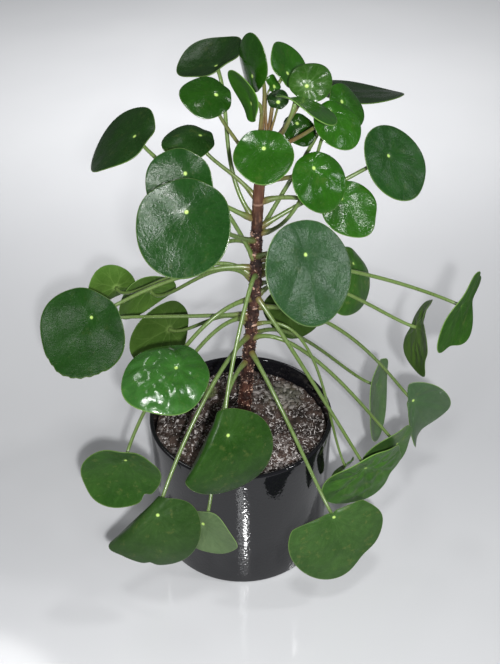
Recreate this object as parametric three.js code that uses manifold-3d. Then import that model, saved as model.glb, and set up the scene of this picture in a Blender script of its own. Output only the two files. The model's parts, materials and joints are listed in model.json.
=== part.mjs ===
// A potted Chinese money plant (Pilea peperomioides): round leaves on long stalks around a bare
// stem, in a plain glossy pot of soil. Millimetres, Z up, origin at the middle of the pot's base.

import * as THREE from 'three';
import { mergeVertices } from 'three/addons/utils/BufferGeometryUtils.js';
import Module from 'manifold-3d';

const wasm = await Module();
wasm.setup();

// Pot
const POT_HEIGHT = 128;
const POT_RIM_RADIUS = 75;
const POT_BASE_RADIUS = 72.5;
const POT_WALL = 3.6;
const POT_FLOOR = 5;
const POT_EDGE = 2.5;
const POT_SIDES = 56;

// Soil
const SOIL_TOP = 113;
const SOIL_SIDES = 40;
const SOIL_BUMP = 1.6;
const SOIL_GAP = 0.7;
const SOIL_RINGS = [1, 0.88, 0.74, 0.6, 0.45, 0.3, 0.15];

// Stem: its middle and its radius, from the foot in the soil to the growing tip
const STEM_LINE = [
  { at: [2, 0, 72], radius: 5.2 },
  { at: [2, 0, 113], radius: 5.6 },
  { at: [5, 0, 160], radius: 5.2 },
  { at: [9, 0, 210], radius: 4.8 },
  { at: [13, 1, 260], radius: 4.5 },
  { at: [14, 1, 300], radius: 4.3 },
  { at: [16, 0, 335], radius: 3.9 },
  { at: [20, 0, 362], radius: 3.0 },
  { at: [22, 0, 374], radius: 1.6 },
];
const STEM_SIDES = 10;
const STEM_STEP = 5;
const SCAR_DEPTH = 0.55;
const SCAR_SPACING = 7;
const SCARS_END = 60;
const STEM_GAP = 0.3;

// Leaf stalks
const STALK_SIDES = 5;
const STALK_STEPS = 8;
const STALK_FOOT_RADIUS = 1.7;
const STALK_TIP_RADIUS = 1.15;
const STALK_GAP = 0.35;
const STALK_LEAVING = 0.4;
const STALK_ARRIVING = 0.3;
const STALK_ARRIVING_MOST = 26;
const STALK_FULL_AT = 20;

// Leaf blades
const BLADE_THICKNESS = 0.8;
const BLADE_SIDES = 22;
const BLADE_RINGS = [0.52, 1];
const HUB_INSET = 0.35;
const FOLDED_RINGS = [0.14, 0.42, 0.62, 0.8, 1];
const FOLD_LIMIT = 100;
const USUAL_ROLL = [-12, -14];
const WAVES = 4;
const WAVE_HEIGHT = 0.8;
const TIP_POINT = 0.05;
const TIP_SHARPNESS = 12;
const SCALLOPS = 5;
const SCALLOP_DEPTH = 0.015;
const CUT_SHARPNESS = 8;

// Each leaf: where its stalk meets the blade, the blade's radius, the way its upper side faces
// (azimuth and height in degrees), and how far its tip is turned from straight downhill. Then how
// far the hub lies from the blade's middle as a share of the radius, how far the blade is rolled
// across and along in degrees (down at the edges where negative), where and how sharply it is
// folded, where its rim runs straight (the way from the hub and the distance as a share of the
// radius), and its dents (each one's way and width in degrees, and its depth as a share, a bulge
// where negative). Last, the height at which its stalk leaves the stem, how steeply, and how far
// it is swung aside or bowed.
const LEAVES = [
  // Around the growing tip
  { name: 'leaf_01', hub: [-12, 32, 407], radius: 24.4, face: [180, 67], spin: -70,
    inset: 0.37, roll: [21, 23], from: 305, lift: 40, swing: 18 },
  { name: 'leaf_02', hub: [12, 8, 409], radius: 18, face: [-149, 1], spin: -147,
    inset: 0.43, roll: [-20, -12], from: 354, lift: 70 },
  { name: 'leaf_03', hub: [-11, -15, 406], radius: 16, face: [-65, 60], spin: -95,
    inset: 0.4, roll: [-11, -2], from: 334, lift: 80 },
  { name: 'leaf_04', hub: [11, -5, 396], radius: 18, face: [-159, -6], spin: -151,
    inset: 0.35, roll: [10, 30], from: 350, lift: 60 },
  { name: 'leaf_05', hub: [35, 25, 404], radius: 17, face: [-29, 40], spin: 124,
    inset: 0.38, roll: [8, 3], from: 361, lift: 60 },
  { name: 'leaf_06', hub: [46, -5, 407], radius: 14, face: [-89, 48], spin: 141,
    inset: 0.31, roll: [-20, -12], from: 361, lift: 50 },
  { name: 'leaf_07', hub: [71, 62, 377], radius: 34, face: [38, 77], spin: -60,
    inset: 0.39, roll: [4, 13], from: 292, lift: 45 },
  { name: 'leaf_08', hub: [70, 8, 391], radius: 16, face: [-40, 38], spin: 42,
    inset: 0.34, roll: [-16, -10], from: 296, lift: 12, swing: -22 },
  { name: 'leaf_09', hub: [61, -10, 392], radius: 17, face: [-59, 57], spin: 13,
    inset: 0.55, roll: [-16, -19], from: 358, lift: 30 },
  { name: 'leaf_10', hub: [38, -31, 408], radius: 20, face: [39, 67], spin: -77,
    inset: 0.42, roll: [11, -14], from: 361, lift: 40 },
  { name: 'leaf_11', hub: [42, 22, 370], radius: 12, face: [-64, 53], spin: 7,
    from: 350, lift: 30, swing: 0 },
  { name: 'leaf_12', hub: [28, -6, 397], radius: 7, face: [-92, 50], spin: 180,
    from: 366, lift: 70 },
  { name: 'leaf_13', hub: [26, 15, 399], radius: 6, face: [-38, 28], spin: 148,
    from: 366, lift: 80 },
  // Upper leaves
  { name: 'leaf_14', hub: [18, -50, 386], radius: 18.6, face: [-91, 51], spin: -1,
    inset: 0.35, roll: [19, 16], from: 350, lift: 30 },
  { name: 'leaf_15', hub: [49, -45, 370], radius: 19, face: [-61, 42], spin: 8,
    inset: 0.47, roll: [0, -17], from: 336, lift: 33 },
  { name: 'leaf_16', hub: [70, -20, 335], radius: 21, face: [-65, 49], spin: 20,
    inset: 0.48, roll: [2, 7], dents: [[22, 25, 0.12], [330, 25, 0.06]], from: 320, lift: 34,
    swing: 18 },
  { name: 'leaf_17', hub: [104, 10, 351], radius: 28, face: [-43, 42], spin: 18,
    inset: 0.25, roll: [3, 6], dents: [[6, 28, 0.08]], from: 300, lift: 32 },
  { name: 'leaf_18', hub: [-66, 0, 372], radius: 28, face: [-153, 57], spin: -51,
    inset: 0.47, roll: [6, -12], from: 307, lift: 27, swing: 6 },
  { name: 'leaf_19', hub: [-24, 20, 363], radius: 18, face: [-41, 75], spin: -112,
    inset: 0.48, roll: [-25, -24], from: 321, lift: 57, swing: -7 },
  { name: 'leaf_20', hub: [-31, -40, 365], radius: 23, face: [-109, 21], spin: -21,
    inset: 0.36, roll: [6, 15], from: 270, lift: 69, swing: -12 },
  { name: 'leaf_21', hub: [-29, -75, 357], radius: 30, face: [-101, 40], spin: -1,
    inset: 0.32, roll: [17, 3], from: 290, lift: 31 },
  { name: 'leaf_22', hub: [43, -80, 329], radius: 32, face: [-54, 31], spin: -14,
    inset: 0.33, roll: [10, 3], from: 276, lift: 40 },
  // Middle leaves
  { name: 'leaf_23', hub: [90, 45, 242], radius: 28, face: [-24, 35], spin: -44,
    inset: 0.48, roll: [-17, -32], from: 258, lift: 20 },
  { name: 'leaf_24', hub: [43, 52, 200], radius: 24, face: [75, 5], spin: 0,
    from: 249, lift: 10 },
  { name: 'leaf_25', hub: [-107, -20, 240], radius: 33.4, face: [-106, 26], spin: -25,
    inset: 0.41, roll: [4, 8], from: 267, lift: 13, swing: -7 },
  { name: 'leaf_26', hub: [-98, 44, 223], radius: 24, face: [121, 18], spin: 84,
    inset: 0.33, roll: [36, -29], from: 256, lift: 45, swing: -18, bow: [0, -12, 6] },
  { name: 'leaf_27', hub: [-73, 58, 211], radius: 27, face: [117, 27], spin: 69,
    inset: 0.21, roll: [-7, -32], from: 252, lift: 40, swing: -16 },
  { name: 'leaf_28', hub: [-58, 40, 184], radius: 30, face: [135, -5], spin: 89,
    inset: 0.29, roll: [-17, 3], from: 211, lift: 45, swing: -22 },
  { name: 'leaf_29', hub: [-44, -60, 224], radius: 31, face: [-67, 76], spin: -75,
    inset: 0.29, roll: [-29, -14], from: 222, lift: 26, swing: -38 },
  // Lower leaves, hanging outside the pot
  { name: 'leaf_30', hub: [-88, -60, 134], radius: 31, face: [-95, -14], spin: -18,
    inset: 0.5, roll: [12, 29], dents: [[340, 14, -0.04], [12, 12, 0.02]], from: 240, lift: 22,
    swing: 9 },
  { name: 'leaf_31', hub: [-8, -90, 187], radius: 36, face: [-64, 25], spin: -3,
    inset: 0.49, roll: [-13, -30], fold: [-123, 0.24, 700, 110], from: 257, lift: 65, swing: 17 },
  { name: 'leaf_32', hub: [-59.1, -116, 134.7], radius: 35.8, face: [-86, 25], spin: -5,
    inset: 0.55, roll: [-30, -28], fold: [-130, 0.05, 400],
    dents: [[40, 45, 0.1], [345, 25, 0.09], [170, 40, 0.2], [312, 10, -0.15]], from: 208, lift: 9 },
  { name: 'leaf_33', hub: [-28.1, -103, 109.9], radius: 21, face: [-112, 14], spin: 33,
    inset: 0.5, roll: [19, -5], dents: [[42, 14, -0.1], [335, 40, 0.22]], from: 183, lift: 8,
    swing: -15 },
  { name: 'leaf_34', hub: [70, -92, 103], radius: 38, face: [-74, 15], spin: 3,
    inset: 0.55, roll: [-8, -8], cut: [190, 0.12], dents: [[24, 14, 0.1], [75, 18, -0.08]],
    from: 194, lift: -8, swing: -11 },
  { name: 'leaf_35', hub: [99, -45, 107], radius: 37, face: [-62, -18], spin: 7,
    inset: 0.37, roll: [-14, 14], dents: [[60, 11, -0.13], [40, 8, 0.06], [350, 25, 0.09]],
    from: 245, lift: -36, swing: -20 },
  { name: 'leaf_36', hub: [127, -20, 109], radius: 25, face: [-54, -8], spin: -75,
    inset: 0.3, roll: [13, -13], from: 203, lift: 45, swing: -28 },
  { name: 'leaf_37', hub: [144, 15, 125], radius: 29, face: [-65, 10], spin: 29,
    inset: 0.42, roll: [59, -8], cut: [236, 0.2],
    dents: [[10, 25, 0.08], [350, 16, 0.1], [321, 10, -0.18]], from: 232, lift: 7, swing: -5 },
  { name: 'leaf_38', hub: [118, 50, 113], radius: 35.5, face: [-22, 4], spin: -34,
    inset: 0.35, roll: [13, 13], dents: [[140, 18, -0.15]], from: 206, lift: -8, swing: 30 },
  { name: 'leaf_39', hub: [138, 10, 205], radius: 31, face: [-7, -13], spin: -46,
    inset: 0.21, roll: [-5, 33], dents: [[262, 22, 0.3], [96, 20, 0.3], [298, 18, -0.25]],
    from: 238, lift: 44, swing: 34 },
  { name: 'leaf_40', hub: [170, 10, 225], radius: 36, face: [-34, -8], spin: 18,
    inset: 0.28, roll: [-4, 14],
    dents: [[338, 22, 0.17], [50, 18, 0.22], [68, 12, -0.25], [15, 18, -0.1]], from: 275, lift: -2,
    swing: -6 },
  // Mostly hidden in the photographed view
  { name: 'leaf_41', hub: [85.6, -28, 91.3], radius: 13, face: [-41, -28], spin: 0,
    from: 216, lift: 15, swing: 0, bow: [0, 0, 22] },
  { name: 'leaf_42', hub: [-107, 8, 217], radius: 19, face: [-110, 25], spin: 0,
    from: 227, lift: -4, swing: 5 },
  { name: 'leaf_43', hub: [-36, 55, 259], radius: 24, face: [110, 40], spin: 0,
    from: 283, lift: 20 },
  { name: 'leaf_44', hub: [60, 70, 218], radius: 24, face: [60, 30], spin: 0,
    from: 262, lift: 20 },
];

const UP = new THREE.Vector3(0, 0, 1);
const EAST = new THREE.Vector3(1, 0, 0);

// Points between which the stem's line and thickness are read
const stemCurve = new THREE.CatmullRomCurve3(
  STEM_LINE.map(({ at }) => new THREE.Vector3(...at)), false, 'centripetal');

// The stem's middle and radius at a height
function stemAt(height) {
  const last = STEM_LINE.length - 1;
  let i = 0;
  while (i < last - 1 && STEM_LINE[i + 1].at[2] < height) i += 1;
  const low = STEM_LINE[i];
  const high = STEM_LINE[i + 1];
  const t = THREE.MathUtils.clamp((height - low.at[2]) / (high.at[2] - low.at[2]), 0, 1);
  const radius = THREE.MathUtils.lerp(low.radius, high.radius, t);
  return { middle: stemCurve.getPoint((i + t) / last), radius };
}

// A closed skin over rings of equal count, from a first pole to a last one. The second half of the
// rings is split along the other diagonal, so that two faces of a thin blade match.
function skin(first, rings, last) {
  const count = rings[0].length;
  const points = [first, ...rings.flat(), last];
  const index = [];
  const at = (ring, k) => 1 + ring * count + (k % count);
  const end = points.length - 1;
  for (let k = 0; k < count; k += 1) {
    index.push(0, at(0, k + 1), at(0, k));
    index.push(end, at(rings.length - 1, k), at(rings.length - 1, k + 1));
    for (let ring = 0; ring < rings.length - 1; ring += 1) {
      const [a, b] = [at(ring, k), at(ring, k + 1)];
      const [c, d] = [at(ring + 1, k), at(ring + 1, k + 1)];
      if (ring < rings.length / 2 - 1) index.push(a, b, d, a, d, c);
      else index.push(a, b, c, b, d, c);
    }
  }
  const places = points.flatMap((point) => [point.x, point.y, point.z]);
  const geometry = new THREE.BufferGeometry();
  geometry.setAttribute('position', new THREE.Float32BufferAttribute(places, 3));
  geometry.setIndex(index);
  return geometry;
}

// Between three.js geometry and solids that can be joined and cut
function toSolid(geometry) {
  const plain = geometry.clone();
  plain.deleteAttribute('normal');
  plain.deleteAttribute('uv');
  const merged = mergeVertices(plain, 1e-4);
  return new wasm.Manifold(new wasm.Mesh({
    numProp: 3,
    vertProperties: new Float32Array(merged.attributes.position.array),
    triVerts: new Uint32Array(merged.index.array),
  }));
}

function toGeometry(solid) {
  const mesh = solid.getMesh();
  const geometry = new THREE.BufferGeometry();
  geometry.setAttribute('position', new THREE.BufferAttribute(mesh.vertProperties, 3));
  geometry.setIndex(new THREE.BufferAttribute(mesh.triVerts, 1));
  return geometry;
}

// A pot with a round foot edge and a thin rounded lip
function potGeometry() {
  const lip = POT_WALL / 2;
  const inside = POT_BASE_RADIUS - POT_WALL;
  const profile = [
    [0, 0],
    [POT_BASE_RADIUS - POT_EDGE, 0],
    [POT_BASE_RADIUS - POT_EDGE * 0.3, POT_EDGE * 0.3],
    [POT_BASE_RADIUS, POT_EDGE],
    [POT_RIM_RADIUS, POT_HEIGHT - lip * 0.6],
    [POT_RIM_RADIUS - lip * 0.4, POT_HEIGHT],
    [POT_RIM_RADIUS - lip * 1.6, POT_HEIGHT],
    [POT_RIM_RADIUS - POT_WALL, POT_HEIGHT - lip * 0.6],
    [inside, POT_FLOOR],
    [0, POT_FLOOR],
  ];
  const points = profile.map(([x, y]) => new THREE.Vector2(x, y));
  return new THREE.LatheGeometry(points, POT_SIDES).rotateX(Math.PI / 2);
}

// Inner radius of the pot at a height
function potInside(height) {
  const t = (height - POT_FLOOR) / (POT_HEIGHT - POT_FLOOR);
  return THREE.MathUtils.lerp(POT_BASE_RADIUS, POT_RIM_RADIUS, t) - POT_WALL;
}

// Height of the soil's crumbly top
function soilHeight(x, y) {
  const coarse = Math.sin(x * 0.11 + 1.3) * Math.cos(y * 0.13 - 0.4);
  const fine = Math.sin(x * 0.37 + y * 0.23) * Math.cos(y * 0.41 - x * 0.17);
  return SOIL_TOP + SOIL_BUMP * (0.7 * coarse + 0.5 * fine);
}

// A list of points around a full turn
function ringOf(count, place) {
  return Array.from({ length: count }, (_, k) => place((k / count) * 2 * Math.PI));
}

// The stem as a solid, thicker all round by a margin where it is used to cut its own hole
function stemBody(margin = 0) {
  const foot = STEM_LINE[0].at[2];
  const top = STEM_LINE[STEM_LINE.length - 1].at[2];
  const steps = Math.round((top - foot) / STEM_STEP);
  const rings = Array.from({ length: steps + 1 }, (_, i) => {
    const height = foot + ((top - foot) * i) / steps;
    const { middle, radius } = stemAt(height);
    return ringOf(STEM_SIDES, (turn) => {
      const scar = Math.cos((2 * Math.PI * height) / SCAR_SPACING + 2 * turn) * SCAR_DEPTH;
      const r = radius + margin + scar * Math.min(1, (top - height) / SCARS_END);
      return new THREE.Vector3(middle.x + r * Math.cos(turn), middle.y + r * Math.sin(turn), height);
    });
  });
  rings[0].forEach((point) => point.setZ(foot - margin));
  const low = stemAt(foot).middle.setZ(foot - margin);
  const high = stemAt(top).middle.setZ(top + margin);
  return skin(low, rings, high);
}

// The soil as a plug that fills the pot, with a plain hole for the stem
function soilGeometry() {
  const floor = POT_FLOOR + STEM_GAP;
  const disc = (radius, z) => ringOf(SOIL_SIDES, (turn) => {
    const x = radius * Math.cos(turn);
    const y = radius * Math.sin(turn);
    return new THREE.Vector3(x, y, z ?? soilHeight(x, y));
  });
  const edge = potInside(SOIL_TOP) - SOIL_GAP;
  const rings = [disc(potInside(floor) - SOIL_GAP, floor), ...SOIL_RINGS.map((share) => disc(edge * share))];
  const soil = skin(new THREE.Vector3(0, 0, floor), rings, new THREE.Vector3(0, 0, soilHeight(0, 0)));
  return toGeometry(toSolid(soil).subtract(toSolid(stemBody(STEM_GAP))));
}

// A unit vector from its azimuth and height in degrees
function direction(azimuth, height) {
  const [a, h] = [THREE.MathUtils.degToRad(azimuth), THREE.MathUtils.degToRad(height)];
  return new THREE.Vector3(Math.cos(a) * Math.cos(h), Math.sin(a) * Math.cos(h), Math.sin(h));
}

// The blade's own axes: its upper side's normal, the way to its tip, and across
function bladeAxes({ face, spin }) {
  const normal = direction(...face);
  const downhill = normal.clone().multiplyScalar(normal.z).sub(UP).normalize();
  const across = normal.clone().cross(downhill);
  const angle = THREE.MathUtils.degToRad(spin);
  const tip = downhill.multiplyScalar(Math.cos(angle)).addScaledVector(across, Math.sin(angle));
  return { normal, tip, side: normal.clone().cross(tip) };
}

// How far a point of the blade lies along and out of its plane once it is rolled
function rolled(distance, radius, degrees) {
  const bend = THREE.MathUtils.degToRad(degrees) / radius;
  if (Math.abs(bend) < 1e-6) return { along: distance, out: 0, lean: 0 };
  const lean = distance * bend;
  return { along: Math.sin(lean) / bend, out: (1 - Math.cos(lean)) / bend, lean };
}

// Bends the part of the blade beyond a line down: the way to that line from the tip in degrees,
// its distance as a share of the radius, the bend in degrees per radius, and its end in degrees
function folded(flat, radius, fold) {
  if (!fold) return { at: flat, drop: 0, lean: 0, way: [0, 0] };
  const [turn, share, degrees, limit = FOLD_LIMIT] = fold;
  const way = [Math.cos(THREE.MathUtils.degToRad(turn)), Math.sin(THREE.MathUtils.degToRad(turn))];
  const over = flat[0] * way[0] + flat[1] * way[1] - share * radius;
  if (over <= 0) return { at: flat, drop: 0, lean: 0, way };
  const bend = THREE.MathUtils.degToRad(degrees) / radius;
  const lean = Math.min(over * bend, THREE.MathUtils.degToRad(limit));
  const straight = over - lean / bend;
  const back = over - Math.sin(lean) / bend - straight * Math.cos(lean);
  const drop = (1 - Math.cos(lean)) / bend + straight * Math.sin(lean);
  return { at: [flat[0] - back * way[0], flat[1] - back * way[1]], drop, lean, way };
}

// How far the blade's rim is from its hub: a circle around a middle beyond the hub, with a slight
// point at the tip and shallow scallops, its dents, and the straight stretch of its rim
function rimReach(leaf, turn) {
  const { radius, inset = HUB_INSET, dents = [], cut = [0, 0] } = leaf;
  const offset = radius * inset;
  const circle = offset * Math.cos(turn) + Math.sqrt(radius ** 2 - (offset * Math.sin(turn)) ** 2);
  const point = TIP_POINT * Math.max(0, Math.cos(turn)) ** TIP_SHARPNESS;
  const scallops = SCALLOP_DEPTH * Math.cos(SCALLOPS * turn + leaf.hub[0]);
  const degrees = THREE.MathUtils.radToDeg(turn);
  const dented = dents.reduce((reach, [way, width, depth]) => {
    const away = THREE.MathUtils.euclideanModulo(degrees - way + 180, 360) - 180;
    return reach * (1 - depth * Math.exp(-((away / width) ** 2)));
  }, circle * (1 + point + scallops));
  const [way, share] = cut;
  const facing = Math.max(0, Math.cos(THREE.MathUtils.degToRad(degrees - way)));
  if (share === 0 || facing === 0) return dented;
  const straight = (share * radius) / facing;
  return (dented ** -CUT_SHARPNESS + straight ** -CUT_SHARPNESS) ** (-1 / CUT_SHARPNESS);
}

// A round blade around its hub, which lies nearer the stem than the tip, with a low wave
function bladeGeometry(leaf) {
  const { normal, tip, side } = bladeAxes(leaf);
  const { radius, roll = USUAL_ROLL } = leaf;
  const hub = new THREE.Vector3(...leaf.hub);
  const phase = leaf.hub[0];
  const face = (share, lift) => ringOf(BLADE_SIDES, (turn) => {
    const reach = share * rimReach(leaf, turn);
    const flat = [reach * Math.cos(turn), reach * Math.sin(turn)];
    const fold = folded(flat, radius, leaf.fold);
    const x = rolled(fold.at[0], radius, roll[1]);
    const y = rolled(fold.at[1], radius, roll[0]);
    const ripple = WAVE_HEIGHT * share ** 2 * Math.sin(WAVES * turn + phase);
    const thick = normal.clone().multiplyScalar(Math.cos(fold.lean))
      .addScaledVector(tip, -Math.tan(x.lean) + Math.sin(fold.lean) * fold.way[0])
      .addScaledVector(side, -Math.tan(y.lean) + Math.sin(fold.lean) * fold.way[1]);
    return hub.clone().addScaledVector(tip, x.along).addScaledVector(side, y.along)
      .addScaledVector(normal, x.out + y.out + ripple - fold.drop)
      .addScaledVector(thick.normalize(), lift);
  });
  const half = BLADE_THICKNESS / 2;
  const rings = leaf.fold ? FOLDED_RINGS : BLADE_RINGS;
  const under = rings.map((share) => face(share, -half));
  const over = rings.toReversed().map((share) => face(share, half));
  const lowHub = hub.clone().addScaledVector(normal, -half);
  const highHub = hub.clone().addScaledVector(normal, half);
  return skin(lowHub, [...under, ...over], highHub);
}

// A stalk's middle line, from inside the stem out to just under the blade's hub
function stalkCurve(leaf) {
  const { normal } = bladeAxes(leaf);
  const { bow = [0, 0, 0], swing = 0 } = leaf;
  const end = new THREE.Vector3(...leaf.hub).addScaledVector(normal, -BLADE_THICKNESS / 2 - STALK_GAP);
  const start = stemAt(leaf.from).middle;
  const span = start.distanceTo(end);
  const azimuth = THREE.MathUtils.radToDeg(Math.atan2(end.y - start.y, end.x - start.x)) + swing;
  const out = start.clone().addScaledVector(direction(azimuth, leaf.lift), span * STALK_LEAVING);
  const under = end.clone().addScaledVector(normal, -Math.min(span * STALK_ARRIVING, STALK_ARRIVING_MOST));
  const push = new THREE.Vector3(...bow);
  return new THREE.CubicBezierCurve3(start, out.add(push), under.add(push), end);
}

// A stalk as a tapering tube, thinner on a young leaf
function stalkBody(leaf) {
  const curve = stalkCurve(leaf);
  const thin = Math.min(1, 0.3 + 0.7 * (leaf.radius / STALK_FULL_AT));
  const rings = [];
  for (let i = 0; i <= STALK_STEPS; i += 1) {
    const t = i / STALK_STEPS;
    const middle = curve.getPoint(t);
    const ahead = curve.getTangent(t);
    const across = new THREE.Vector3().crossVectors(Math.abs(ahead.z) > 0.9 ? EAST : UP, ahead).normalize();
    const rest = ahead.clone().cross(across);
    const r = thin * THREE.MathUtils.lerp(STALK_FOOT_RADIUS, STALK_TIP_RADIUS, Math.sqrt(t));
    rings.push(ringOf(STALK_SIDES, (turn) => middle.clone()
      .addScaledVector(across, r * Math.cos(turn))
      .addScaledVector(rest, r * Math.sin(turn))));
  }
  return skin(curve.getPoint(0), rings, curve.getPoint(1));
}

// The stem with every leaf stalk grown from it
function stemGeometry() {
  const stalks = LEAVES.map((leaf) => toSolid(stalkBody(leaf)));
  return toGeometry(stalks.reduce((body, stalk) => body.add(stalk), toSolid(stemBody())));
}

// A named piece of the plant
function mesh(name, geometry, material) {
  const piece = new THREE.Mesh(geometry, material);
  piece.name = name;
  return piece;
}

const glossyBlack = new THREE.MeshStandardMaterial({ color: 0x17171a, roughness: 0.12, metalness: 0 });
const darkSoil = new THREE.MeshStandardMaterial({ color: 0x4a3a34, roughness: 0.95, metalness: 0 });
const stemGreen = new THREE.MeshStandardMaterial({ color: 0x7d8a45, roughness: 0.6, metalness: 0 });
const leafGreen = new THREE.MeshStandardMaterial({ color: 0x2f6b25, roughness: 0.3, metalness: 0 });

const plant = new THREE.Group();
plant.add(mesh('pot', potGeometry(), glossyBlack));
plant.add(mesh('soil', soilGeometry(), darkSoil));
plant.add(mesh('stem', stemGeometry(), stemGreen));
for (const leaf of LEAVES) plant.add(mesh(leaf.name, bladeGeometry(leaf), leafGreen));

export default plant;
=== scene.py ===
"""The dressed potted Chinese money plant: fine blades, stalks, stem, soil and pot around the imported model.
Lengths are in metres. The lists that repeat the part's own are in its millimetres and degrees."""
import json
import math

import bpy
import numpy as np
from mathutils import Matrix, Vector, noise

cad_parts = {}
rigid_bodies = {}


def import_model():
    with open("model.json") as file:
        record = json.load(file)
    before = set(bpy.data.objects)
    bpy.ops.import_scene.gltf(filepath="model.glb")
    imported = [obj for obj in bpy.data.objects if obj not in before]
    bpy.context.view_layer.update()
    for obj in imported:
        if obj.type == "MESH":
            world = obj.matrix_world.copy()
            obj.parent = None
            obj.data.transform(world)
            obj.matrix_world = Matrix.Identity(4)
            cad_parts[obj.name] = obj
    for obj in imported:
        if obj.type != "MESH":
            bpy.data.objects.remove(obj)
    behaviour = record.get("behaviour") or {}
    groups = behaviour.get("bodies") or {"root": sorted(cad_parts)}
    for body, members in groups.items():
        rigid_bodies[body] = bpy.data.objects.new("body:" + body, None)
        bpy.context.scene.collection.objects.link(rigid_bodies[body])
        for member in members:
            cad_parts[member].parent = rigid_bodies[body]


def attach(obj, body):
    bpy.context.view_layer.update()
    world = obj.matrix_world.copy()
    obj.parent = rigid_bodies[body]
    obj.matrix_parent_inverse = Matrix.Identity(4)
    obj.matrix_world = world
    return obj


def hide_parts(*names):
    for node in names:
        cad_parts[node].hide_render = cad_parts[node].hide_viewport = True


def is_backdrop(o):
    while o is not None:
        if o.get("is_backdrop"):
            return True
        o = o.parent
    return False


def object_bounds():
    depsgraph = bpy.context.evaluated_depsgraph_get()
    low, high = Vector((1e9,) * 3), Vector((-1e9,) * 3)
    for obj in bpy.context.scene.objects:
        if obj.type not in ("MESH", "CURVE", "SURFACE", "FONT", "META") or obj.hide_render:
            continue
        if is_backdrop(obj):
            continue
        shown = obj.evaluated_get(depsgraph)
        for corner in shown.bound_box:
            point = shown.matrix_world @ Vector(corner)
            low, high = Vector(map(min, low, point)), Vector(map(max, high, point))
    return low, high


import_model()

CAD_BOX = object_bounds()
BODY = "root"
MM = 0.001
SEED = 7

# The photograph's camera: 500 by 664 pixels, pixels for the focal length, degrees, metres
PHOTO_HEIGHT = 664
FOCAL_PIXELS = 900
SENSOR = 36
CAMERA_PITCH = 36.9
CAMERA_ROLL = -0.7
CAMERA_PLACE = (0.0083, -0.5518, 0.6242)
CAMERA_CLIP = (0.01, 20)

# Pot
POT_HEIGHT = 0.128
POT_RIM_RADIUS = 0.075
POT_BASE_RADIUS = 0.0725
POT_WALL = 0.0036
POT_FLOOR = 0.005
POT_EDGE = 0.0025
POT_SIDES = 180
LIP_POINTS = 9
WALL_POINTS = 14

# Soil
SOIL_TOP = 0.113
SOIL_BUMP = 0.0016
SOIL_GAP = 0.0007
SOIL_RINGS = 78
SOIL_SIDES = 200
SOIL_DEPTH = 0.012
SOIL_PLAIN_EDGE = 0.002
CLOD_SIZE = 0.008
SMALL_CLOD_SIZE = 0.0025
CRUMBS = 2600
CRUMB_SIZE = (0.0004, 0.002)
CRUMB_RINGS = 2
CRUMB_SIDES = 5
CRUMB_ROUGH = 0.28
CRUMB_TILT = 0.6
SHREDS = 3600
SHRED_SIZE = (0.00026, 0.0006)
SHRED_LONG = (3.5, 7)
SHRED_FLAT = 0.5
PALE_SHREDS = 800
PALE_AT = (0.030, -0.036)
PALE_SPREAD = 0.016
LITTER = 150
LITTER_SIZE = (0.001, 0.0042)
LITTER_AT = (0.036, 0.035)
LITTER_SPREAD = 0.009
LITTER_RADIUS = 0.02
LITTER_GREEN = 0.15
MOSS_AT = (-0.031, 0.043)
MOSS_RADIUS = 0.011

# Stem: places in millimetres up its middle line, as in the part
STEM_LINE = [
    dict(at=(2, 0, 72), radius=5.2),
    dict(at=(2, 0, 113), radius=5.6),
    dict(at=(5, 0, 160), radius=5.2),
    dict(at=(9, 0, 210), radius=4.8),
    dict(at=(13, 1, 260), radius=4.5),
    dict(at=(14, 1, 300), radius=4.3),
    dict(at=(16, 0, 335), radius=3.9),
    dict(at=(20, 0, 362), radius=3.0),
    dict(at=(22, 0, 374), radius=1.6),
]
STEM_FOOT = 0.1
STEM_TOP = 0.374
STEM_POINT = 0.6
STEM_SIDES = 64
STEM_STEP = 0.0006
SCAR_STEP = 0.0034
SCAR_TURN = 137.5
SCAR_WIDTH = 0.0031
SCAR_HEIGHT = 0.0017
SCAR_RISE = 0.0009
SCAR_STRAY = 0.0006
BARK_GRAIN = 0.0021
BARK_DEPTH = 0.00045
BARK_SUNK = 0.35
YOUNG_BARK = 0.25
BARK_SMOOTH_FROM = 0.3
BARK_SMOOTH_TO = 0.33
JOINT_AT = 0.321
JOINT_HEIGHT = 0.0016
JOINT_PALE = 0.62
FLAKES = 1100
FLAKE_SIZE = (0.0003, 0.0009)

# Leaf stalks
STALK_SIDES = 12
STALK_STEPS = 30
STALK_RADII = (0.0017, 0.00115)
STALK_GAP = 0.00035
STALK_FULLER = 1.12
STALK_LEAVING = 0.4
STALK_ARRIVING = 0.3
STALK_ARRIVING_MOST = 0.026
STALK_FULL_AT = 0.02
STALK_THINNEST = 0.3
FOOT_FLARE = 0.45
FOOT_FLARE_AT = 0.006
TIP_FLARE = 0.35
FLARE_LENGTH = 0.004
RED_FOOT = 0.007

# Stalks that start above this height turn red, in millimetres as their rows have it
RED_FROM = 318
RED_RISE = 25

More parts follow.
